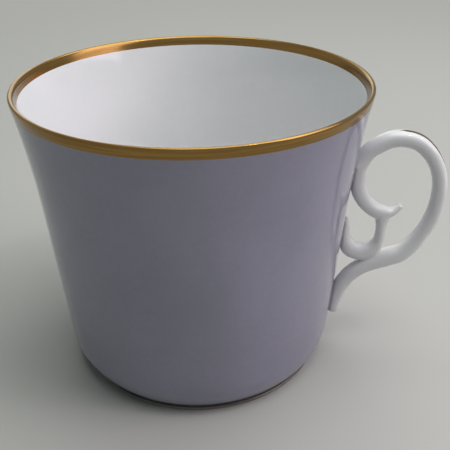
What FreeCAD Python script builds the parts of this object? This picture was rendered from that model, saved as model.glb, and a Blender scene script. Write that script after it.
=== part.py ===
import FreeCAD, Part
import math
import os
import Sketcher

# A porcelain coffee cup: a nearly straight, slightly flaring cup on a low foot ring, with a pierced
# scroll handle. Cup and handle are fired as one piece. Millimetres, +Z up, the origin on the cup's
# axis in the plane that the foot ring rests on, the handle towards +X.

Vector = FreeCAD.Vector
Placement = FreeCAD.Placement
ACROSS = Vector(0, 1, 0)

SIZES = {
    # The cup's outer form
    "rim_radius": 41.0,
    "cup_height": 71.7,
    "base_radius": 34.3,
    "corner_height": 9.4,
    "corner_radius": 13.6,
    "flare_out": 1.5,
    "flare_height": 26.7,
    # Wall, lip and floor
    "wall_thickness": 2.3,
    "lip_thickness": 1.3,
    "floor_thickness": 2.8,
    "inner_corner_radius": 9.0,
    # The foot ring
    "foot_inset": 3.3,
    "foot_width": 2.6,
    "foot_height": 1.6,
    "foot_setback": 1.1,
    "foot_recess": 2.2,
    "foot_rounding": 0.5,
    # Where the handle sits on the wall
    "handle_drop": 13.1,
    "tail_height": 8.8,
    # How wide the handle's strands are, seen from the side
    "root_width": 3.2,
    "arch_width": 3.9,
    "side_width": 3.5,
    "branch_width": 4.8,
    "heel_width": 3.9,
    "tail_width": 3.1,
    "loop_root_width": 2.0,
    "loop_width": 3.7,
    "loop_tip_width": 1.8,
    "stem_width": 2.5,
    "scroll_width": 4.5,
    "scroll_tip_width": 1.6,
    # How deep they are, front to back
    "handle_depth": 4.4,
    "tail_depth": 3.8,
    "loop_depth": 3.8,
    "loop_tip_depth": 2.4,
    "scroll_depth": 3.6,
    "scroll_tip_depth": 2.4,
}

# Each strand's middle line, as (how far out from the cup's wall, height as a share of the way from
# the tail's end up to the top of the arch).
ARCH_ROUTE = [
    (0.2, 0.861), (3.7, 0.943), (8.7, 0.998), (13.9, 0.982), (18.0, 0.910), (20.6, 0.807),
    (21.5, 0.691), (20.95, 0.578), (19.6, 0.500), (17.9, 0.432), (15.6, 0.381), (12.4, 0.353),
    (7.6, 0.304), (4.5, 0.251), (2.45, 0.180), (1.55, 0.105), (1.4, 0.050), (1.35, 0.0),
]
LOOP_ROUTE = [
    (8.0, 0.986), (5.9, 0.972), (4.0, 0.940), (2.7, 0.896), (1.5, 0.855), (1.5, 0.813),
    (1.75, 0.767), (2.7, 0.713), (5.0, 0.653), (8.6, 0.610), (11.3, 0.615), (12.9, 0.646),
]
SCROLL_ROUTE = [
    (9.3, 0.606), (9.4, 0.546), (9.6, 0.484), (9.5, 0.437), (8.3, 0.393), (5.9, 0.372),
    (3.2, 0.394), (1.55, 0.437), (0.95, 0.484), (0.65, 0.532), (0.25, 0.574),
]

# The width and depth that a strand has at a share of its length.
ARCH_WIDTHS = [(0.0, "root_width"), (0.1, "arch_width"), (0.22, "arch_width"), (0.36, "side_width"),
               (0.59, "side_width"), (0.68, "branch_width"), (0.71, "branch_width"),
               (0.79, "heel_width"), (0.92, "heel_width"), (1.0, "tail_width")]
ARCH_DEPTHS = [(0.0, "handle_depth"), (0.7, "handle_depth"), (1.0, "tail_depth")]
LOOP_WIDTHS = [(0.0, "loop_root_width"), (0.14, "loop_root_width"), (0.31, "loop_width"),
               (0.82, "loop_width"), (1.0, "loop_tip_width")]
LOOP_DEPTHS = [(0.0, "loop_depth"), (0.82, "loop_depth"), (1.0, "loop_tip_depth")]
SCROLL_WIDTHS = [(0.0, "loop_width"), (0.18, "stem_width"), (0.26, "stem_width"), (0.52, "scroll_width"),
                 (0.62, "scroll_width"), (0.84, "stem_width"), (1.0, "scroll_tip_width")]
SCROLL_DEPTHS = [(0.0, "loop_depth"), (0.2, "scroll_depth"), (0.7, "scroll_depth"),
                 (1.0, "scroll_tip_depth")]

# How many sections each strand is lofted through, before its end.
ARCH_SECTION_COUNT = 19
LOOP_SECTION_COUNT = 11
SCROLL_SECTION_COUNT = 13

# A strand's free end closes in a dome: how far along the dome each of its sections lies.
DOME_SHARES = [0.35, 0.65, 0.87, 0.98]

# An edge lower than this lies in the plane that the cup stands on.
RESTING_HEIGHT = 0.001

doc = FreeCAD.newDocument("flat_cup")


def make_sheet():
    sheet = doc.addObject("Spreadsheet::Sheet", "sizes")
    for row, (name, value) in enumerate(SIZES.items(), start=1):
        sheet.set("A%d" % row, name)
        sheet.set("B%d" % row, str(value))
        sheet.setAlias("B%d" % row, name)
    doc.recompute()
    return sheet


sheet = make_sheet()


def size(name):
    return float(getattr(sheet, name))


def wall_slope():
    run = size("rim_radius") - size("flare_out") - size("base_radius")
    return run / (size("cup_height") - size("corner_height"))


def wall_radius(height):
    """The outer radius of the straight wall at a height."""
    return size("base_radius") + wall_slope() * (height - size("corner_height"))


def foot_radius():
    return size("base_radius") - size("foot_inset")


def tangent_arc(start, heading, end):
    """The arc that leaves start along heading and arrives at end."""
    chord = end - start
    normal = Vector(-heading.y, heading.x, 0)
    radius = chord.Length ** 2 / (2 * chord.dot(normal))
    centre = start + normal * radius
    middle = centre + ((start + end) * 0.5 - centre).normalize() * abs(radius)
    return Part.Arc(start, middle, end)


def cup_profile():
    """The outline of half the cup's section, in order from the middle of its underside."""
    slope = math.atan(wall_slope())
    up_wall = Vector(math.sin(slope), math.cos(slope), 0)
    rim, height, lip = size("rim_radius"), size("cup_height"), size("lip_thickness")
    recess, wall = size("foot_recess"), size("wall_thickness")
    floor = recess + size("floor_thickness")
    foot_inner = foot_radius() - size("foot_width")
    base = Vector(size("base_radius"), size("corner_height"), 0)
    corner = size("corner_radius")
    corner_centre = base + Vector(-up_wall.y, up_wall.x, 0) * corner
    foot_top = size("foot_height")
    drop = corner_centre.y - foot_top
    corner_start = Vector(corner_centre.x + math.sqrt(corner ** 2 - drop ** 2), foot_top, 0)
    flare_z = height - size("flare_height")
    flare_outer = Vector(wall_radius(flare_z), flare_z, 0)
    flare_inner = flare_outer - Vector(wall, 0, 0)
    lip_outer = Vector(rim, height - lip / 2, 0)
    lip_inner = Vector(rim - lip, height - lip / 2, 0)
    bowl = size("inner_corner_radius")
    half_turn = (math.pi / 2 + slope) / 2
    sharp = flare_inner - up_wall * ((flare_z - floor) / up_wall.y)
    reach = bowl * math.tan(math.pi / 2 - half_turn)
    bowl_top = sharp + up_wall * reach
    bowl_low = sharp - Vector(reach, 0, 0)
    bowl_centre = bowl_low + Vector(0, bowl, 0)
    bowl_middle = bowl_centre + (sharp - bowl_centre).normalize() * bowl
    corner_middle = corner_centre + ((corner_start + base) * 0.5 - corner_centre).normalize() * corner
    points = [
        Vector(0, recess, 0), Vector(foot_inner, recess, 0), Vector(foot_inner, 0, 0),
        Vector(foot_radius(), 0, 0),
        Vector(foot_radius() - size("foot_setback"), foot_top, 0), corner_start,
    ]
    shapes = [Part.LineSegment(a, b) for a, b in zip(points, points[1:])]
    shapes.append(Part.Arc(corner_start, corner_middle, base))
    shapes.append(Part.LineSegment(base, flare_outer))
    shapes.append(tangent_arc(flare_outer, up_wall, lip_outer))
    shapes.append(Part.Arc(lip_outer, Vector(rim - lip / 2, height, 0), lip_inner))
    shapes.append(tangent_arc(flare_inner, up_wall, lip_inner))
    shapes.append(Part.LineSegment(flare_inner, bowl_top))
    shapes.append(Part.Arc(bowl_top, bowl_middle, bowl_low))
    shapes.append(Part.LineSegment(bowl_low, Vector(0, floor, 0)))
    shapes.append(Part.LineSegment(Vector(0, floor, 0), points[0]))
    return shapes


def nearest_end(sketch, shape, point):
    """Which end of a sketched line or arc lies at point: 1 for its start, 2 for its end."""
    gaps = [(sketch.getPoint(shape, end) - point).Length for end in (1, 2)]
    return 1 if gaps[0] < gaps[1] else 2


def make_bowl():
    """The thrown form: the half section, turned once round the cup's axis."""
    body = doc.addObject("PartDesign::Body", "thrown_form")
    sketch = body.newObject("Sketcher::SketchObject", "half_section")
    plane = [f for f in body.Origin.OriginFeatures if f.Role == "XZ_Plane"][0]
    sketch.AttachmentSupport = [(plane, "")]
    sketch.MapMode = "FlatFace"
    shapes = cup_profile()
    sketch.addGeometry(shapes, False)
    order = list(range(len(shapes)))
    (under, foot_in, foot_low, foot_out, ledge, corner, wall, flare, lip,
     inner_flare, inner_wall, bowl, floor, axis) = order
    for one, two in zip(order, order[1:] + order[:1]):
        gaps = {}
        for a in (1, 2):
            for b in (1, 2):
                gaps[a, b] = (sketch.getPoint(one, a) - sketch.getPoint(two, b)).Length
        a, b = min(gaps, key=gaps.get)
        smooth = (one, two) in [(corner, wall), (wall, flare), (inner_flare, inner_wall),
                                (inner_wall, bowl), (bowl, floor)]
        kind = "Tangent" if smooth else "Coincident"
        sketch.addConstraint(Sketcher.Constraint(kind, one, a, two, b))
    for line in (under, foot_low, ledge, floor):
        sketch.addConstraint(Sketcher.Constraint("Horizontal", line))
    for line in (foot_in, axis):
        sketch.addConstraint(Sketcher.Constraint("Vertical", line))
    sketch.addConstraint(Sketcher.Constraint("Parallel", wall, inner_wall))

    def fix(name, kind, place, formula):
        shape, end = place
        start = sketch.getPoint(shape, end)
        value = start.x if kind == "DistanceX" else start.y
        index = sketch.addConstraint(Sketcher.Constraint(kind, -1, 1, shape, end, value))
        sketch.renameConstraint(index, name)
        sketch.setExpression("Constraints." + name, formula)

    def fix_radius(name, shape, formula):
        index = sketch.addConstraint(Sketcher.Constraint("Radius", shape, sketch.Geometry[shape].Radius))
        sketch.renameConstraint(index, name)
        sketch.setExpression("Constraints." + name, formula)

    fix("recess", "DistanceY", (under, 1), "sizes.foot_recess")
    sketch.addConstraint(Sketcher.Constraint("PointOnObject", under, 1, -2))
    foot = "sizes.base_radius - sizes.foot_inset"
    fix("foot_inner", "DistanceX", (foot_low, 1), foot + " - sizes.foot_width")
    sketch.addConstraint(Sketcher.Constraint("PointOnObject", foot_low, 1, -1))
    fix("foot_outer", "DistanceX", (foot_low, 2), foot)
    fix("foot_neck", "DistanceX", (foot_out, 2), foot + " - sizes.foot_setback")
    fix("foot_top", "DistanceY", (foot_out, 2), "sizes.foot_height")
    fix_radius("corner_radius", corner, "sizes.corner_radius")
    fix("base_radius", "DistanceX", (wall, 1), "sizes.base_radius")
    fix("base_height", "DistanceY", (wall, 1), "sizes.corner_height")
    slope = ("(sizes.rim_radius - sizes.flare_out - sizes.base_radius)"
             " / (sizes.cup_height - sizes.corner_height)")
    straight = "(sizes.cup_height - sizes.flare_height - sizes.corner_height)"
    fix("flare_radius", "DistanceX", (wall, 2), "sizes.base_radius + " + slope + " * " + straight)
    fix("flare_z", "DistanceY", (wall, 2), "sizes.cup_height - sizes.flare_height")
    rim_end = nearest_end(sketch, lip, Vector(size("rim_radius"), size("cup_height"), 0))
    fix("rim_radius", "DistanceX", (lip, rim_end), "sizes.rim_radius")
    fix("rim_z", "DistanceY", (lip, rim_end), "sizes.cup_height - sizes.lip_thickness / 2")
    fix("mouth_radius", "DistanceX", (lip, 3 - rim_end), "sizes.rim_radius - sizes.lip_thickness")
    fix("mouth_z", "DistanceY", (lip, 3 - rim_end), "sizes.cup_height - sizes.lip_thickness / 2")
    fix("lip_centre_z", "DistanceY", (lip, 3), "sizes.cup_height - sizes.lip_thickness / 2")
    fix("inner_radius", "DistanceX", (inner_wall, 1),
        "sizes.base_radius + " + slope + " * " + straight + " - sizes.wall_thickness")
    fix("inner_z", "DistanceY", (inner_wall, 1), "sizes.cup_height - sizes.flare_height")
    fix_radius("bowl_radius", bowl, "sizes.inner_corner_radius")
    fix("floor_z", "DistanceY", (floor, 2), "sizes.foot_recess + sizes.floor_thickness")
    doc.recompute()
    turned = body.newObject("PartDesign::Revolution", "turned_form")
    turned.Profile = sketch
    turned.ReferenceAxis = (sketch, ["V_Axis"])
    turned.Angle = 360
    doc.recompute()
    rounded = body.newObject("PartDesign::Fillet", "foot_rounding")
    rounded.Base = (turned, foot_edges(turned.Shape))
    rounded.setExpression("Radius", "sizes.foot_rounding")
    body.Tip = rounded
    doc.recompute()
    return body


def foot_edges(shape):
    """The two round edges that the foot ring stands on."""
    names = []
    for number, edge in enumerate(shape.Edges, start=1):
        if edge.BoundBox.ZMax < RESTING_HEIGHT and edge.Curve.TypeId == "Part::GeomCircle":
            names.append("Edge%d" % number)
    return names


def blended(stops, share):
    """The size at a share of a strand's length, as a formula and as a number."""
    after = 1
    while after < len(stops) - 1 and stops[after][0] < share:
        after += 1
    (from_share, one), (to_share, two) = stops[after - 1], stops[after]
    mix = min(max((share - from_share) / (to_share - from_share), 0), 1)
    mix = mix * mix * (3 - 2 * mix)
    formula = "(sizes.%s * %.4f + sizes.%s * %.4f)" % (one, 1 - mix, two, mix)
    return formula, size(one) * (1 - mix) + size(two) * mix


def make_strand(name, route, widths, depths, stations):
    """One strand of the handle: oval sections, lofted along a smooth line in the XZ plane."""
    top = size("cup_height") - size("handle_drop")
    tail = size("tail_height")
    points = []
    for out, share in route:
        height = tail + share * (top - tail)
        points.append(Vector(wall_radius(height) + out, 0, height))
    line = Part.BSplineCurve()
    line.interpolate(points)
    length = line.toShape().Length
    dome = blended(widths, 1)[1] / 2
    body_share = 1 - dome / length
    places = [(body_share * number / (stations - 1), 1) for number in range(stations)]
    places += [(body_share + share * dome / length, math.sqrt(1 - share ** 2)) for share in DOME_SHARES]
    sections = []
    for number, (share, shrink) in enumerate(places, start=1):
        place = line.parameterAtDistance(length * share, line.FirstParameter)
        heading = line.tangent(place)[0]
        width_formula, width = blended(widths, share)
        depth_formula, depth = blended(depths, share)
        oval = doc.addObject("Part::Ellipse", "%s_section_%d" % (name, number))
        both = "%s; %s" % (width_formula, depth_formula)
        oval.setExpression("MajorRadius", "max(%s) / 2 * %.4f" % (both, shrink))
        oval.setExpression("MinorRadius", "min(%s) / 2 * %.4f" % (both, shrink))
        long_side = ACROSS if depth > width else ACROSS.cross(heading)
        turn = FreeCAD.Rotation(long_side, heading.cross(long_side), heading, "ZXY")
        oval.Placement = Placement(line.value(place), turn)
        sections.append(oval)
    strand = doc.addObject("Part::Loft", name)
    strand.Sections = sections
    strand.Solid = True
    strand.Ruled = False
    doc.recompute()
    return strand


def make_cup():
    parts = [
        make_bowl(),
        make_strand("arch", ARCH_ROUTE, ARCH_WIDTHS, ARCH_DEPTHS, ARCH_SECTION_COUNT),
        make_strand("loop", LOOP_ROUTE, LOOP_WIDTHS, LOOP_DEPTHS, LOOP_SECTION_COUNT),
        make_strand("scroll", SCROLL_ROUTE, SCROLL_WIDTHS, SCROLL_DEPTHS, SCROLL_SECTION_COUNT),
    ]
    cup = doc.addObject("Part::MultiFuse", "cup_one_piece")
    cup.Shapes = parts
    cup.Label = "cup"
    cup.Placement = Placement()
    doc.recompute()
    return cup


def check_document():
    for item in doc.Objects:
        if "Invalid" in item.State or "Error" in item.State:
            raise RuntimeError("%s failed: %s" % (item.Label, item.State))


def write_piece(piece):
    shape = piece.Shape
    if shape.isNull() or not shape.isValid() or len(shape.Solids) != 1:
        raise RuntimeError("%s isn't one valid solid" % piece.Label)
    shape.exportStep(os.path.join("parts", piece.Label + ".step"))
    print(piece.Label, "volume", round(shape.Volume, 1), "box", shape.BoundBox)


cup = make_cup()
check_document()
os.makedirs("parts", exist_ok=True)
write_piece(cup)
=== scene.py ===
import math

import bmesh
import bpy
from mathutils import Matrix, Vector


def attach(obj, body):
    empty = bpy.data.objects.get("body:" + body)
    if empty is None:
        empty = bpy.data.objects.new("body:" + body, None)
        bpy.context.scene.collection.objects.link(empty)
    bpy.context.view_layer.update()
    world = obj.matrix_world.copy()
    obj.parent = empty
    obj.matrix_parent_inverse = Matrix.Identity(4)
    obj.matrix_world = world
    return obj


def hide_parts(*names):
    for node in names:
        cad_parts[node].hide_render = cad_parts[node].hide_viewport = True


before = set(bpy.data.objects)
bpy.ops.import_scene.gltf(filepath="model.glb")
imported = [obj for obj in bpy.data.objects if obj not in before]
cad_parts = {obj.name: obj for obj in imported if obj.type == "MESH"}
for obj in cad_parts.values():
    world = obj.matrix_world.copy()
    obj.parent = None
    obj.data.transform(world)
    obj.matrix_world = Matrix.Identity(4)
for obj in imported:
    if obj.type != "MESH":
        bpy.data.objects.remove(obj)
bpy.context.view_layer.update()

# A porcelain cup with a gilded lip and a pierced scroll handle. Metres, in the CAD's own frame: +Z
# up, the origin on the cup's axis where the foot ring rests, the handle towards +X.

MM = 0.001
QUARTER = math.pi / 2

# The cup, in millimetres, as in the part's source
RIM_RADIUS = 41.0
CUP_HEIGHT = 71.7
BASE_RADIUS = 34.3
CORNER_HEIGHT = 9.4
CORNER_RADIUS = 13.6
FLARE_OUT = 1.5
FLARE_HEIGHT = 26.7
WALL = 2.3
LIP = 1.3
FLOOR = 2.8
BOWL_CORNER = 9.0
FOOT_RADIUS = 31.0
FOOT_WIDTH = 2.6
FOOT_HEIGHT = 1.6
FOOT_RECESS = 2.2
FOOT_ROUNDING = 0.5

# The foot shows as a low ledge with a groove above it.
LEDGE_HEIGHT = 0.75
LEDGE_ROUNDING = 0.3
GROOVE_DEPTH = 1.1
GROOVE_TOP = FOOT_HEIGHT + 0.06
BARE_HEIGHT = 0.12

# The lip: a crisp outer edge, a roll over the top and a long curve down the inside
LIP_EDGE = 0.4
LIP_ROLL = 0.8
LIP_ROLL_TURN = math.radians(55)
LIP_INSIDE = 2.2
LIP_INSIDE_TURN = math.radians(25)
GILDED_OUTSIDE = 2.35
GILDED_INSIDE = 2.2

HANDLE_TOP = CUP_HEIGHT - 13.1
TAIL_HEIGHT = 8.8

# Each strand's middle line, as (how far out from the wall, height as a share of the way from the
# tail's end up to the top of the arch).
ARCH_ROUTE = [
    (0.2, 0.861), (3.7, 0.943), (8.7, 0.998), (13.9, 0.982), (18.0, 0.910), (20.6, 0.807),
    (21.5, 0.691), (20.95, 0.578), (19.6, 0.500), (17.9, 0.432), (15.6, 0.381), (12.4, 0.353),
    (7.6, 0.304), (4.5, 0.251), (2.45, 0.180), (1.55, 0.105), (1.4, 0.050), (1.35, 0.0),
]
LOOP_ROUTE = [
    (8.0, 0.986), (5.9, 0.972), (4.0, 0.940), (2.7, 0.896), (1.5, 0.855), (1.5, 0.813),
    (1.75, 0.767), (2.7, 0.713), (5.0, 0.653), (8.6, 0.610), (11.4, 0.615), (13.4, 0.652),
]
SCROLL_ROUTE = [
    (9.3, 0.606), (9.4, 0.546), (9.6, 0.484), (9.5, 0.441), (8.3, 0.401), (5.9, 0.380),
    (3.2, 0.394), (1.55, 0.437), (0.95, 0.484), (0.65, 0.532), (0.25, 0.574),
]

# (share of the strand's length, size in millimetres)
ARCH_WIDTHS = [(0.0, 3.2), (0.1, 3.9), (0.22, 3.9), (0.36, 3.5), (0.55, 3.5), (0.69, 4.8),
               (0.71, 4.8), (0.79, 3.9), (0.92, 3.9), (1.0, 3.1)]
ARCH_DEPTHS = [(0.0, 4.4), (0.7, 4.4), (1.0, 3.8)]
LOOP_WIDTHS = [(0.0, 2.0), (0.14, 2.0), (0.31, 3.7), (0.80, 3.7), (1.0, 0.9)]
LOOP_DEPTHS = [(0.0, 3.8), (0.82, 3.8), (1.0, 2.6)]
SCROLL_WIDTHS = [(0.0, 3.7), (0.18, 2.5), (0.26, 2.5), (0.52, 4.5), (0.62, 4.5), (0.84, 2.5),
                 (1.0, 1.6)]
SCROLL_DEPTHS = [(0.0, 3.8), (0.2, 3.6), (0.7, 3.6), (1.0, 2.4)]

# A strand's section is a rounded oblong: the share of its half width that its corners take.
SECTION_ROUNDING = 0.86
SECTION_SPACING = 0.7
DOME_REACHES = (0.35, 0.65, 0.87, 0.98)
LINE_STEPS = 24

# The slice of the wall that the handle grows out of, in millimetres and degrees
SLICE_LOW = 6.6
SLICE_HIGH = 58.0
SLICE_UNDER = 0.05
SLICE_THICKNESS = 1.2
SLICE_SPREAD = math.radians(7)

SKIN_GRAIN = 0.22
SKIN_SOFTENING = 12

# Finishes, as linear colours
GOLD_PALE = (0.33, 0.202, 0.066)
GOLD_DEEP = (0.23, 0.130, 0.040)
WHITE_PALE = (0.82, 0.805, 0.80)
WHITE_DEEP = (0.77, 0.76, 0.765)
LAVENDER_PALE = (0.312, 0.300, 0.385)
LAVENDER_DEEP = (0.272, 0.264, 0.335)
INSIDE_PALE = (0.82, 0.81, 0.82)
INSIDE_DEEP = (0.78, 0.775, 0.785)
# Painted shade: the white foot ring's ledge and groove are coloured dark brown-grey for the shade under
# the body's overhang.
FOOT_SHADE_PALE = (0.20, 0.18, 0.155)
FOOT_SHADE_DEEP = (0.13, 0.115, 0.095)
BISCUIT_PALE = (0.74, 0.71, 0.66)
BISCUIT_DEEP = (0.60, 0.56, 0.50)
FLOOR_PALE = (0.49, 0.475, 0.455)
FLOOR_DEEP = (0.455, 0.44, 0.42)
BACKDROP = (0.42, 0.42, 0.40)

# The gold stroke down the arch's back. Its angles are taken round the ring's middle, up from +X.
RING_MIDDLE = (47.8, 48.5)
RING_OUTSIDE = 10.2
STROKE_FOOT = (math.radians(8), math.radians(26))
STROKE_HEAD = (math.radians(93), math.radians(80))
STROKE_SWELL = (math.radians(80), math.radians(45))
STROKE_NARROW = 0.65
STROKE_WIDE = 1.15


# The cup's outline


def wall_slope():
    return (RIM_RADIUS - FLARE_OUT - BASE_RADIUS) / (CUP_HEIGHT - CORNER_HEIGHT)


def wall_radius(height):
    return BASE_RADIUS + wall_slope() * (height - CORNER_HEIGHT)


def at(radius, height):
    """A point of the half section, from millimetres."""
    return Vector((radius * MM, 0, height * MM))


def up_wall():
    lean = math.atan(wall_slope())
    return Vector((math.sin(lean), 0, math.cos(lean)))


def arc_centre(start, heading, end):
    """The centre of the arc that leaves start along heading and arrives at end."""
    chord = end - start
    normal = Vector((-heading.z, 0, heading.x))
    return start + normal * (chord.length_squared / (2 * chord.dot(normal)))


FLARE_Z = CUP_HEIGHT - FLARE_HEIGHT
FLARE_OUTER = at(wall_radius(FLARE_Z), FLARE_Z)
FLARE_INNER = at(wall_radius(FLARE_Z) - WALL, FLARE_Z)
LIP_OUTER = at(RIM_RADIUS, CUP_HEIGHT - LIP / 2)
LIP_INNER = at(RIM_RADIUS - LIP, CUP_HEIGHT - LIP / 2)
OUTER_FLARE_CENTRE = arc_centre(FLARE_OUTER, up_wall(), LIP_OUTER)
INNER_FLARE_CENTRE = arc_centre(FLARE_INNER, up_wall(), LIP_INNER)


def flare_point(centre, start, height):
    """The point at a height, in metres, on one of the flare's arcs."""
    radius = (start - centre).length
    return Vector((centre.x - math.sqrt(radius ** 2 - (height - centre.z) ** 2), 0, height))


def corner_centre():
    across = Vector((-up_wall().z, 0, up_wall().x))
    return at(BASE_RADIUS, CORNER_HEIGHT) + across * CORNER_RADIUS * MM


def outer_point(height):
    """The cup's outer surface at a height in millimetres."""
    if height > FLARE_Z:
        return flare_point(OUTER_FLARE_CENTRE, FLARE_OUTER, height * MM)
    if height > CORNER_HEIGHT:
        return at(wall_radius(height), height)
    centre = corner_centre()
    drop = height * MM - centre.z
    return Vector((centre.x + math.sqrt((CORNER_RADIUS * MM) ** 2 - drop ** 2), 0, height * MM))


def finished(form, name, materials):
    """Makes a smooth mesh object of a bmesh."""
    mesh = bpy.data.meshes.new(name)
    form.to_mesh(mesh)
    form.free()
    for material in materials:
        mesh.materials.append(material)
    mesh.shade_smooth()
    piece = bpy.data.objects.new(name, mesh)
    bpy.context.scene.collection.objects.link(piece)
    return piece


# The thrown form


def line_to(form, tip, point):
    """Carries the outline straight on from its tip, and gives the new tip."""
    grown = bmesh.ops.extrude_vert_indiv(form, verts=[tip])["verts"][0]
    grown.co = point
    return grown


def arc_by(form, tip, centre, angle, steps):
    """Carries the outline on round centre, anticlockwise seen from the front where angle is positive."""
    turned = bmesh.ops.spin(form, geom=[tip], cent=centre, axis=(0, -1, 0), angle=angle, steps=steps)
    return [part for part in turned["geom_last"] if isinstance(part, bmesh.types.BMVert)][0]


def arc_to(form, tip, centre, end, steps):
    from_angle = math.atan2(tip.co.z - centre.z, tip.co.x - centre.x)
    to_angle = math.atan2(end.z - centre.z, end.x - centre.x)
    angle = (to_angle - from_angle + math.pi) % (2 * math.pi) - math.pi
    return arc_by(form, tip, centre, angle, steps)


def underside_outline(form):
    """From the middle of the recess, round the foot ring, to the top of the groove outside it."""
    ring_inner = FOOT_RADIUS - FOOT_WIDTH
    groove = FOOT_RADIUS - GROOVE_DEPTH
    soft = FOOT_ROUNDING
    crisp = LEDGE_ROUNDING
    tip = bmesh.ops.create_vert(form, co=at(0, FOOT_RECESS))["vert"][0]
    tip = line_to(form, tip, at(ring_inner - soft, FOOT_RECESS))
    tip = arc_by(form, tip, at(ring_inner - soft, FOOT_RECESS - soft), -QUARTER, 5)
    tip = line_to(form, tip, at(ring_inner, soft))
    tip = arc_by(form, tip, at(ring_inner + soft, soft), QUARTER, 5)
    tip = line_to(form, tip, at(FOOT_RADIUS - crisp, 0))
    tip = arc_by(form, tip, at(FOOT_RADIUS - crisp, crisp), QUARTER, 5)
    tip = line_to(form, tip, at(FOOT_RADIUS, LEDGE_HEIGHT - crisp))
    tip = arc_by(form, tip, at(FOOT_RADIUS - crisp, LEDGE_HEIGHT - crisp), QUARTER, 5)
    tip = line_to(form, tip, at(groove + crisp, LEDGE_HEIGHT))
    tip = arc_by(form, tip, at(groove + crisp, LEDGE_HEIGHT + crisp), -QUARTER, 4)
    tip = line_to(form, tip, at(groove, FOOT_HEIGHT - crisp))
    tip = arc_by(form, tip, at(groove + crisp, FOOT_HEIGHT - crisp), -QUARTER, 4)
    return line_to(form, tip, outer_point(GROOVE_TOP))


def lip_outline(form, tip, inside_edge):
    """From the outer flare over the lip to the gilding's lower edge inside."""
    edge_centre = at(RIM_RADIUS - LIP_EDGE, CUP_HEIGHT - LIP_EDGE)
    roll_centre = at(RIM_RADIUS - LIP_EDGE, CUP_HEIGHT - LIP_ROLL)
    tip = arc_to(form, tip, OUTER_FLARE_CENTRE, LIP_OUTER, 3)
    tip = line_to(form, tip, at(RIM_RADIUS, CUP_HEIGHT - LIP_EDGE))
    tip = arc_by(form, tip, edge_centre, QUARTER, 6)
    tip = arc_by(form, tip, roll_centre, LIP_ROLL_TURN, 7)
    towards_centre = Vector((math.sin(LIP_ROLL_TURN), 0, -math.cos(LIP_ROLL_TURN)))
    inside_centre = tip.co + towards_centre * LIP_INSIDE * MM
    tip = arc_by(form, tip, inside_centre, LIP_INSIDE_TURN, 4)
    return line_to(form, tip, flare_point(INNER_FLARE_CENTRE, FLARE_INNER, inside_edge))


def bowl_outline(form, tip, floor_z):
    """From the flare down the inner wall, round the corner and across the floor to the middle."""
    rise = up_wall()
    # The inner wall's straight line is carried down to the floor to find where the corner starts.
    sharp = FLARE_INNER - rise * ((FLARE_Z - floor_z) * MM / rise.z)
    half_turn = (QUARTER + math.atan(wall_slope())) / 2
    reach = BOWL_CORNER * MM * math.tan(QUARTER - half_turn)
    bowl_low = sharp - Vector((reach, 0, 0))
    bowl_centre = bowl_low + Vector((0, 0, BOWL_CORNER * MM))
    tip = arc_to(form, tip, INNER_FLARE_CENTRE, FLARE_INNER, 12)
    tip = line_to(form, tip, sharp + rise * reach)
    tip = arc_to(form, tip, bowl_centre, bowl_low, 20)
    return line_to(form, tip, at(0, floor_z))


def thrown_form(glaze_outside, glaze_inside, gilding, biscuit, foot_painted_shade):
    floor_z = FOOT_RECESS + FLOOR
    outside_edge = (CUP_HEIGHT - GILDED_OUTSIDE) * MM
    inside_edge = (CUP_HEIGHT - GILDED_INSIDE) * MM
    band_edge = flare_point(OUTER_FLARE_CENTRE, FLARE_OUTER, outside_edge)

    form = bmesh.new()
    tip = underside_outline(form)
    tip = arc_to(form, tip, corner_centre(), at(BASE_RADIUS, CORNER_HEIGHT), 22)
    tip = line_to(form, tip, FLARE_OUTER)
    tip = arc_to(form, tip, OUTER_FLARE_CENTRE, band_edge, 12)
    tip = lip_outline(form, tip, inside_edge)
    bowl_outline(form, tip, floor_z)

    bmesh.ops.spin(form, geom=form.verts[:] + form.edges[:], cent=(0, 0, 0), axis=(0, 0, 1),
                   angle=2 * math.pi, steps=240, use_merge=True)
    bmesh.ops.remove_doubles(form, verts=form.verts[:], dist=0.002 * MM)
    bmesh.ops.recalc_face_normals(form, faces=form.faces[:])

    outside, inside, gilded, bare, foot = range(5)
    for face in form.faces:
        middle = face.calc_center_median()
        radius = math.hypot(middle.x, middle.y)
        mid_wall = outer_point(middle.z / MM).x - 0.5 * LIP * MM
        in_the_bowl = middle.z > (floor_z - 0.1) * MM and radius < mid_wall
        if middle.z > (inside_edge if in_the_bowl else outside_edge):
            face.material_index = gilded
        elif in_the_bowl:
            face.material_index = inside
        elif middle.z < BARE_HEIGHT * MM:
            face.material_index = bare
        # The foot ring's outer ledge and groove take the painted shade.
        elif middle.z < (FOOT_HEIGHT + 0.03) * MM and radius > (FOOT_RADIUS - FOOT_WIDTH + 0.5) * MM:
            face.material_index = foot
        else:
            face.material_index = outside
    return finished(form, "cup_bowl", [glaze_outside, glaze_inside, gilding, biscuit, foot_painted_shade])


# The handle


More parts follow.
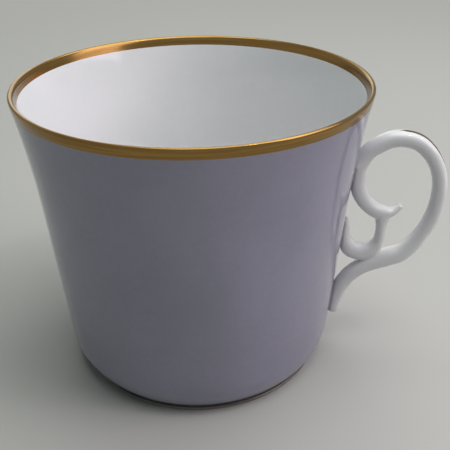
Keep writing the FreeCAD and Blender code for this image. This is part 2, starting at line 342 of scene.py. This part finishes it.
def smooth_line(route):
    """Closely spaced points of the smooth line through a route."""
    points = []
    for out, share in route:
        height = TAIL_HEIGHT + share * (HANDLE_TOP - TAIL_HEIGHT)
        points.append(at(wall_radius(height) + out, height))
    gaps = [(b - a).length for a, b in zip(points, points[1:])]
    headings = []
    for number, point in enumerate(points):
        before = max(number - 1, 0)
        after = min(number + 1, len(points) - 1)
        if before == number or after == number:
            headings.append((points[after] - points[before]) / gaps[min(before, len(gaps) - 1)])
            continue
        back, on = gaps[before], gaps[number]
        slope_back = (point - points[before]) / back
        slope_on = (points[after] - point) / on
        headings.append((slope_back * on + slope_on * back) / (back + on))
    line = []
    for number, gap in enumerate(gaps):
        start, end = points[number], points[number + 1]
        out_of, into = headings[number] * gap, headings[number + 1] * gap
        for step in range(LINE_STEPS):
            t = step / LINE_STEPS
            line.append(start * (2 * t ** 3 - 3 * t ** 2 + 1) + out_of * (t ** 3 - 2 * t ** 2 + t)
                        + end * (3 * t ** 2 - 2 * t ** 3) + into * (t ** 3 - t ** 2))
    line.append(points[-1])
    return line


def along(line, length):
    """The point at a length along a line, and the way the line heads there."""
    for a, b in zip(line, line[1:]):
        gap = (b - a).length
        if length <= gap:
            return a + (b - a) * (length / gap), (b - a).normalized()
        length -= gap
    return line[-1].copy(), (line[-1] - line[-2]).normalized()


def blended(stops, share):
    for (from_share, one), (to_share, two) in zip(stops, stops[1:]):
        if share <= to_share:
            mix = (share - from_share) / (to_share - from_share)
            mix = mix * mix * (3 - 2 * mix)
            return one * (1 - mix) + two * mix
    return stops[-1][1]


def station(line, length, width, depth):
    """Takes a section two units across to its place, size and heading on a line."""
    place, heading = along(line, length)
    side = Vector((-heading.z, 0, heading.x))
    turn = Matrix((side, (0, 1, 0), heading)).transposed().to_4x4()
    return Matrix.Translation(place) @ turn @ Matrix.Diagonal((width * MM / 2, depth * MM / 2, MM, 1))


def rounded_oblong(form):
    square = bmesh.ops.create_circle(form, cap_ends=True, segments=4, radius=math.sqrt(2))["verts"]
    bmesh.ops.rotate(form, verts=square, cent=(0, 0, 0), matrix=Matrix.Rotation(math.pi / 4, 3, "Z"))
    return bmesh.ops.bevel(form, geom=square, affect="VERTICES", offset=SECTION_ROUNDING, segments=7,
                           profile=0.5, material=-1)["verts"]


def strand(form, route, widths, depths):
    """One strand of the handle, with a domed free end."""
    line = smooth_line(route)
    total = sum((b - a).length for a, b in zip(line, line[1:]))
    dome = widths[-1][1] * MM / 2
    body = total - dome
    count = round(body / (SECTION_SPACING * MM))
    stops = [(body * number / count, 1) for number in range(count + 1)]
    stops += [(body + dome * reach, math.sqrt(1 - reach ** 2)) for reach in DOME_REACHES]
    ring = rounded_oblong(form)
    placed = Matrix.Identity(4)
    for length, shrink in stops:
        share = length / total
        target = station(line, length, blended(widths, share) * shrink, blended(depths, share) * shrink)
        if length > 0:
            edges = {edge for vert in ring for edge in vert.link_edges
                     if all(end in ring for end in edge.verts)}
            grown = bmesh.ops.extrude_edge_only(form, edges=list(edges))["geom"]
            ring = [part for part in grown if isinstance(part, bmesh.types.BMVert)]
        bmesh.ops.transform(form, matrix=target @ placed.inverted(), verts=ring)
        placed = target
    bmesh.ops.contextual_create(form, geom=ring)


def wall_slice(form):
    """The slice of the cup's wall that the strands grow out of, just under the wall's own surface."""
    heights = [SLICE_LOW + (SLICE_HIGH - SLICE_LOW) * step / 40 for step in range(41)]
    outer = at(SLICE_UNDER, 0)
    inner = at(SLICE_UNDER + SLICE_THICKNESS, 0)
    first = bmesh.ops.create_vert(form, co=outer_point(SLICE_LOW) - inner)["vert"][0]
    made = [first]
    for height in heights:
        made.append(line_to(form, made[-1], outer_point(height) - outer))
    for height in reversed(heights[1:]):
        made.append(line_to(form, made[-1], outer_point(height) - inner))
    bmesh.ops.contextual_create(form, geom=[made[-1], first])
    face = bmesh.ops.contextual_create(form, geom=made)["faces"]
    bmesh.ops.rotate(form, cent=(0, 0, 0), matrix=Matrix.Rotation(-SLICE_SPREAD, 3, "Z"), verts=made)
    bmesh.ops.spin(form, geom=face + list(face[0].edges) + made, cent=(0, 0, 0), axis=(0, 0, 1),
                   angle=2 * SLICE_SPREAD, steps=10)


def melted_together(form):
    """The same solids, melted into one skin."""
    mesh = bpy.data.meshes.new("handle_strands")
    bmesh.ops.recalc_face_normals(form, faces=form.faces[:])
    form.to_mesh(mesh)
    form.free()
    strands = bpy.data.objects.new("handle_strands", mesh)
    bpy.context.scene.collection.objects.link(strands)
    melt = strands.modifiers.new("melt", "REMESH")
    melt.mode = "VOXEL"
    melt.voxel_size = SKIN_GRAIN * MM
    skin = bmesh.new()
    skin.from_object(strands, bpy.context.evaluated_depsgraph_get())
    bpy.data.objects.remove(strands)
    bpy.data.meshes.remove(mesh)
    return skin


def without_specks(skin):
    """Drops the loose specks that the melting leaves where two surfaces all but touch."""
    outermost = max(skin.verts, key=lambda vert: vert.co.x)
    joined = {outermost}
    ends = [outermost]
    while ends:
        for edge in ends.pop().link_edges:
            for vert in edge.verts:
                if vert not in joined:
                    joined.add(vert)
                    ends.append(vert)
    bmesh.ops.delete(skin, geom=[vert for vert in skin.verts if vert not in joined], context="VERTS")


def relax(skin, verts, factor, sideways=True):
    bmesh.ops.smooth_vert(skin, verts=verts, factor=factor,
                          use_axis_x=True, use_axis_y=sideways, use_axis_z=True)


def soften_near(skin, spot, reach, inwards, passes, sideways):
    """Rounds a corner of the handle: what lies within reach of spot, and no further in than inwards."""
    near = [vert for vert in skin.verts
            if math.hypot(vert.co.x - spot.x, vert.co.z - spot.z) < reach * MM
            and vert.co.x > spot.x - inwards * MM]
    for _ in range(passes):
        relax(skin, near, 0.5, sideways)


def scroll_handle(glaze):
    form = bmesh.new()
    strand(form, ARCH_ROUTE, ARCH_WIDTHS, ARCH_DEPTHS)
    strand(form, LOOP_ROUTE, LOOP_WIDTHS, LOOP_DEPTHS)
    strand(form, SCROLL_ROUTE, SCROLL_WIDTHS, SCROLL_DEPTHS)
    wall_slice(form)
    skin = melted_together(form)
    without_specks(skin)
    # Each pair of passes smooths the skin, then lets it out again, so thin ends keep their size.
    for _ in range(SKIN_SOFTENING):
        relax(skin, skin.verts[:], 0.5)
        relax(skin, skin.verts[:], -0.49)
    # The ring's upper inner corner runs round softly, and so does the turn into the lower branch.
    soften_near(skin, at(42.0, 52.8), reach=2.6, inwards=1.9, passes=40, sideways=False)
    soften_near(skin, at(54.3, 31.0), reach=5.0, inwards=5.0, passes=20, sideways=True)
    return finished(skin, "cup_handle", [glaze])


# Node helpers


def start_material(name):
    material = bpy.data.materials.new(name)
    material.use_nodes = True
    tree = material.node_tree
    shader = tree.nodes["Principled BSDF"]
    place = tree.nodes.new("ShaderNodeTexCoord").outputs["Object"]
    return material, tree, shader, place


def stretched(tree, place, scale):
    mapping = tree.nodes.new("ShaderNodeMapping")
    mapping.inputs["Scale"].default_value = scale
    tree.links.new(place, mapping.inputs["Vector"])
    return mapping.outputs["Vector"]


def noise(tree, place, scale, detail=3.0):
    cloud = tree.nodes.new("ShaderNodeTexNoise")
    cloud.inputs["Scale"].default_value = scale
    cloud.inputs["Detail"].default_value = detail
    tree.links.new(place, cloud.inputs["Vector"])
    return cloud.outputs["Fac"]


def spread(tree, value, from_low, from_high, to_low, to_high):
    ramp = tree.nodes.new("ShaderNodeMapRange")
    ramp.interpolation_type = "SMOOTHSTEP"
    tree.links.new(value, ramp.inputs["Value"])
    for socket, number in (("From Min", from_low), ("From Max", from_high),
                           ("To Min", to_low), ("To Max", to_high)):
        ramp.inputs[socket].default_value = number
    return ramp.outputs["Result"]


def mixed(tree, share, one, two):
    """A blend of two colours, each a tuple or a socket."""
    mix = tree.nodes.new("ShaderNodeMix")
    mix.data_type = "RGBA"
    tree.links.new(share, mix.inputs["Factor"])
    for socket, colour in ((mix.inputs[6], one), (mix.inputs[7], two)):
        if isinstance(colour, tuple):
            socket.default_value = colour + (1,)
        else:
            tree.links.new(colour, socket)
    return mix.outputs[2]


def maths(tree, kind, one, two=None):
    """One Math node: kind is its operation, and one and two are sockets or numbers."""
    node = tree.nodes.new("ShaderNodeMath")
    node.operation = kind
    for socket, value in zip(node.inputs, (one, two)):
        if value is None:
            continue
        if isinstance(value, (int, float)):
            socket.default_value = value
        else:
            tree.links.new(value, socket)
    return node.outputs[0]


def length_of(tree, one, two):
    """The hypotenuse of two sockets."""
    squares = maths(tree, "ADD", maths(tree, "MULTIPLY", one, one), maths(tree, "MULTIPLY", two, two))
    return maths(tree, "SQRT", squares)


def shaders_mixed(tree, share, one, two, output):
    surface = tree.nodes.new("ShaderNodeMixShader")
    for socket, value in zip(surface.inputs, (share, one, two)):
        tree.links.new(value, socket)
    tree.links.new(surface.outputs["Shader"], tree.nodes[output].inputs["Surface"])


def uneven(tree, shader, height, strength, distance):
    bump = tree.nodes.new("ShaderNodeBump")
    bump.inputs["Strength"].default_value = strength
    bump.inputs["Distance"].default_value = distance
    tree.links.new(height, bump.inputs["Height"])
    tree.links.new(bump.outputs["Normal"], shader.inputs["Normal"])


# Finishes


def glaze_colour(tree, place, pale, deep):
    """Two close shades of one glaze, in soft clouds a few centimetres and a few millimetres across."""
    broad = maths(tree, "MULTIPLY", noise(tree, place, 45, 2), 0.75)
    fine = maths(tree, "MULTIPLY", noise(tree, place, 700, 4), 0.25)
    return mixed(tree, spread(tree, maths(tree, "ADD", broad, fine), 0.32, 0.68, 0, 1), pale, deep)


def glaze_shine(tree, place):
    return spread(tree, noise(tree, place, 320), 0.3, 0.7, 0.06, 0.12)


def glaze_ripple(tree, shader, place):
    uneven(tree, shader, noise(tree, place, 160, 2), 0.25, 0.00012)


def glaze(name, pale, deep):
    material, tree, shader, place = start_material(name)
    tree.links.new(glaze_colour(tree, place, pale, deep), shader.inputs["Base Color"])
    tree.links.new(glaze_shine(tree, place), shader.inputs["Roughness"])
    glaze_ripple(tree, shader, place)
    return material


def gilding():
    """Brushed on round the lip, so its streaks run round the cup."""
    material, tree, shader, place = start_material("gilding")
    streaks = noise(tree, stretched(tree, place, (60, 60, 2600)), 1.0, 4)
    tree.links.new(mixed(tree, spread(tree, streaks, 0.3, 0.7, 0, 1), GOLD_PALE, GOLD_DEEP),
                   shader.inputs["Base Color"])
    tree.links.new(spread(tree, streaks, 0.3, 0.7, 0.15, 0.25), shader.inputs["Roughness"])
    shader.inputs["Metallic"].default_value = 1
    uneven(tree, shader, streaks, 0.2, 0.00004)
    return material


def biscuit():
    """The foot ring's resting edge, where the glaze was wiped off."""
    material, tree, shader, place = start_material("biscuit")
    tree.links.new(mixed(tree, noise(tree, place, 2600, 5), BISCUIT_PALE, BISCUIT_DEEP),
                   shader.inputs["Base Color"])
    shader.inputs["Roughness"].default_value = 0.7
    uneven(tree, shader, noise(tree, place, 4200, 4), 0.5, 0.00005)
    return material


def gold_stroke(tree, x, y, z):
    """One on the stroke down the arch's back, and nought beside it."""
    across = maths(tree, "SUBTRACT", x, RING_MIDDLE[0] * MM)
    above = maths(tree, "SUBTRACT", z, RING_MIDDLE[1] * MM)
    angle = maths(tree, "ARCTAN2", above, across)
    taper = maths(tree, "MULTIPLY", spread(tree, angle, *STROKE_FOOT, 0, 1),
                  spread(tree, angle, *STROKE_HEAD, 0, 1))
    swell = spread(tree, angle, *STROKE_SWELL, STROKE_NARROW * MM, STROKE_WIDE * MM)
    half_width = maths(tree, "MULTIPLY", taper, swell)
    edge = maths(tree, "SUBTRACT", half_width, maths(tree, "ABSOLUTE", y))
    outer_half = spread(tree, length_of(tree, across, above),
                        RING_OUTSIDE * MM, (RING_OUTSIDE + 0.2) * MM, 0, 1)
    return maths(tree, "MULTIPLY", spread(tree, edge, 0.0, 0.06 * MM, 0, 1), outer_half)


def handle_glaze():
    """White glaze that takes the wall's tint at its roots, with a gold stroke down the arch's back."""
    material, tree, shader, place = start_material("handle_glaze")
    axes = tree.nodes.new("ShaderNodeSeparateXYZ")
    tree.links.new(place, axes.inputs["Vector"])
    x, y, z = axes.outputs
    wall = maths(tree, "ADD", maths(tree, "MULTIPLY", z, wall_slope()), wall_radius(0) * MM)
    out = maths(tree, "SUBTRACT", length_of(tree, x, y), wall)
    white = glaze_colour(tree, place, WHITE_PALE, WHITE_DEEP)
    tinted = glaze_colour(tree, place, LAVENDER_PALE, LAVENDER_DEEP)
    body = mixed(tree, spread(tree, out, 0.1 * MM, 1.0 * MM, 0, 1), tinted, white)

    stroke = gold_stroke(tree, x, y, z)
    gold = mixed(tree, spread(tree, noise(tree, place, 900), 0.3, 0.7, 0, 1), GOLD_PALE, GOLD_DEEP)
    tree.links.new(mixed(tree, stroke, body, gold), shader.inputs["Base Color"])
    tree.links.new(stroke, shader.inputs["Metallic"])
    dulled = maths(tree, "ADD", glaze_shine(tree, place), maths(tree, "MULTIPLY", stroke, 0.08))
    tree.links.new(dulled, shader.inputs["Roughness"])
    glaze_ripple(tree, shader, place)
    return material


bowl = thrown_form(glaze("outside_glaze", LAVENDER_PALE, LAVENDER_DEEP),
                   glaze("inside_glaze", INSIDE_PALE, INSIDE_DEEP),
                   gilding(), biscuit(),
                   # The last finish is painted shade on the foot ring's ledge and groove.
                   glaze("foot_painted_shade", FOOT_SHADE_PALE, FOOT_SHADE_DEEP))
handle = scroll_handle(handle_glaze())
for piece in (bowl, handle):
    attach(piece, "root")
    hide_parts("cup")


# Floor, light and camera


def seen_or_mirrored(tree):
    """One for what the camera sees, directly or in the glaze and gilding, and nought for other light."""
    path = tree.nodes.new("ShaderNodeLightPath").outputs
    mirrored = maths(tree, "MAXIMUM", path["Is Glossy Ray"], path["Is Transmission Ray"])
    return maths(tree, "MAXIMUM", path["Is Camera Ray"], mirrored)


def plain_floor():
    form = bmesh.new()
    just_under = Matrix.Translation((0, 0, -0.02 * MM))
    bmesh.ops.create_grid(form, x_segments=1, y_segments=1, size=4, matrix=just_under)
    material, tree, shader, place = start_material("floor")
    tree.links.new(mixed(tree, noise(tree, place, 3), FLOOR_PALE, FLOOR_DEEP),
                   shader.inputs["Base Color"])
    shader.inputs["Roughness"].default_value = 0.8
    # Far from the cup the floor fades into the pale backdrop.
    distance = tree.nodes.new("ShaderNodeVectorMath")
    distance.operation = "LENGTH"
    tree.links.new(place, distance.inputs[0])
    far = spread(tree, distance.outputs["Value"], 0.2, 0.7, 0, 1)
    backdrop = tree.nodes.new("ShaderNodeEmission")
    backdrop.inputs["Color"].default_value = BACKDROP + (1,)
    shaders_mixed(tree, maths(tree, "MULTIPLY", far, seen_or_mirrored(tree)),
                  shader.outputs["BSDF"], backdrop.outputs["Emission"], "Material Output")
    finished(form, "floor", [material])


def pale_room():
    world = bpy.data.worlds.new("room")
    bpy.context.scene.world = world
    world.use_nodes = True
    tree = world.node_tree
    air = tree.nodes["Background"]
    air.inputs["Color"].default_value = (0.68, 0.90, 0.86, 1)
    air.inputs["Strength"].default_value = 0.15
    backdrop = tree.nodes.new("ShaderNodeBackground")
    backdrop.inputs["Color"].default_value = BACKDROP + (1,)
    shaders_mixed(tree, seen_or_mirrored(tree),
                  air.outputs["Background"], backdrop.outputs["Background"], "World Output")


def soft_lamp(name, place, aim, width, power, colour):
    lamp = bpy.data.lights.new(name, "AREA")
    lamp.shape = "SQUARE"
    lamp.size = width
    lamp.energy = power
    lamp.color = colour
    holder = bpy.data.objects.new(name, lamp)
    bpy.context.scene.collection.objects.link(holder)
    holder.location = place
    holder.rotation_euler = (Vector(aim) - Vector(place)).to_track_quat("-Z", "Y").to_euler()


def photograph_camera():
    place = Matrix.Translation((0.02113, -0.15034, 0.11808))
    pitch, yaw, roll = math.radians(29.15), math.radians(-5.37), math.radians(-0.55)
    ahead = Vector((math.sin(yaw) * math.cos(pitch), math.cos(yaw) * math.cos(pitch), -math.sin(pitch)))
    right = Vector((math.cos(yaw), -math.sin(yaw), 0))
    up = right.cross(ahead)
    turned_right = right * math.cos(roll) + up * math.sin(roll)
    turned_up = up * math.cos(roll) - right * math.sin(roll)
    lens = bpy.data.cameras.new("camera")
    lens.sensor_width = 36
    lens.lens = 54.4
    lens.clip_start = 0.005
    camera = bpy.data.objects.new("camera", lens)
    bpy.context.scene.collection.objects.link(camera)
    camera.matrix_world = place @ Matrix((turned_right, turned_up, -ahead)).transposed().to_4x4()
    bpy.context.scene.camera = camera


plain_floor()
pale_room()
soft_lamp("window", (0.58, -0.08, 0.40), (0, 0, 0.05), 0.45, 1.8, (1.0, 0.86, 0.98))
soft_lamp("ceiling", (0.18, 0.08, 0.85), (0, 0, 0.03), 0.9, 6.9, (0.95, 1.0, 0.98))
soft_lamp("far_window", (-0.22, 0.85, 0.42), (0, 0, 0.06), 0.5, 0.9, (1.0, 0.98, 0.85))
soft_lamp("bulb", (0.30, -0.12, 0.70), (0, 0, 0.04), 0.05, 0.3, (1.0, 0.98, 0.95))
photograph_camera()
bpy.context.scene.view_settings.view_transform = "Standard"
